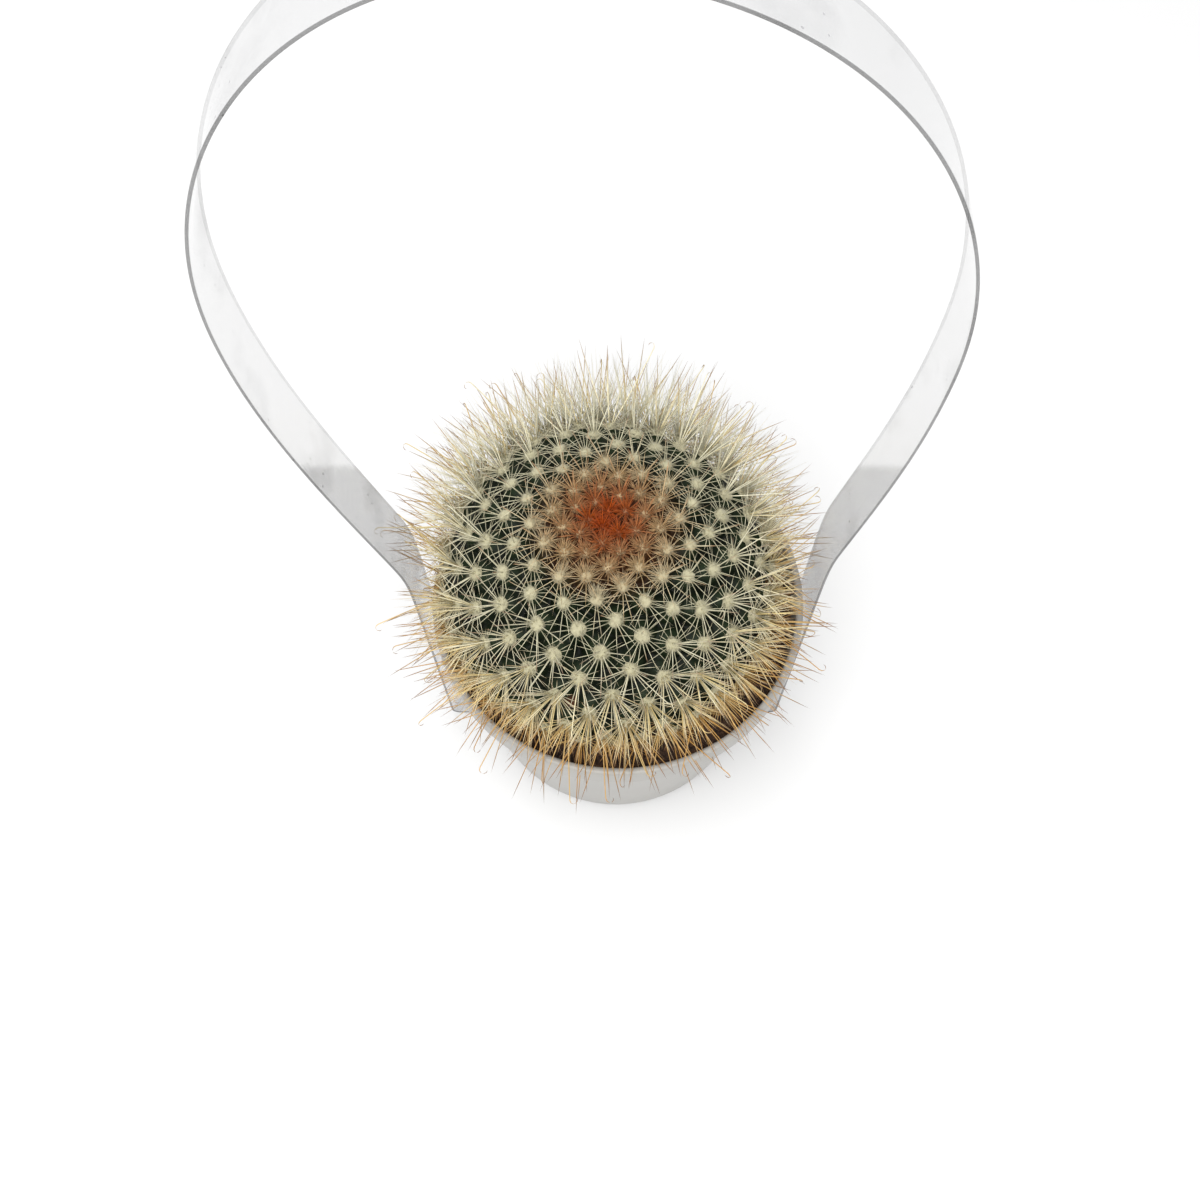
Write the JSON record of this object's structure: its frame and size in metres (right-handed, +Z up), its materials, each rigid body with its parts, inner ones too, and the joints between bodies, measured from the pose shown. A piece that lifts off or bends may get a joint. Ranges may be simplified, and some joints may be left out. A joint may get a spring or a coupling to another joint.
{
  "type": "potted spiny pincushion cactus",
  "caption": "Squat round cactus with spiral tubercles and needle spines, in a plain white pot hung in a sling of clear plastic strip that forms a tall carrying loop.",
  "frame": {"origin": "on the ground under the middle of the pot, in the middle of the strap's flat bottom run", "axes": "+Z up, X across the strap's loop, -Y the front of the plant as pictured"},
  "size_m": [0.1193, 0.1052, 0.2363],
  "materials": {
    "cactus_flesh_and_spines": "matte",
    "peat_soil": "matte",
    "white_plastic": "satin",
    "clear_plastic": "gloss"
  },
  "bodies": {
    "root": {"cactus": "cactus_flesh_and_spines", "soil": "peat_soil", "pot": "white_plastic", "strap": "clear_plastic"}
  },
  "joints": []
}
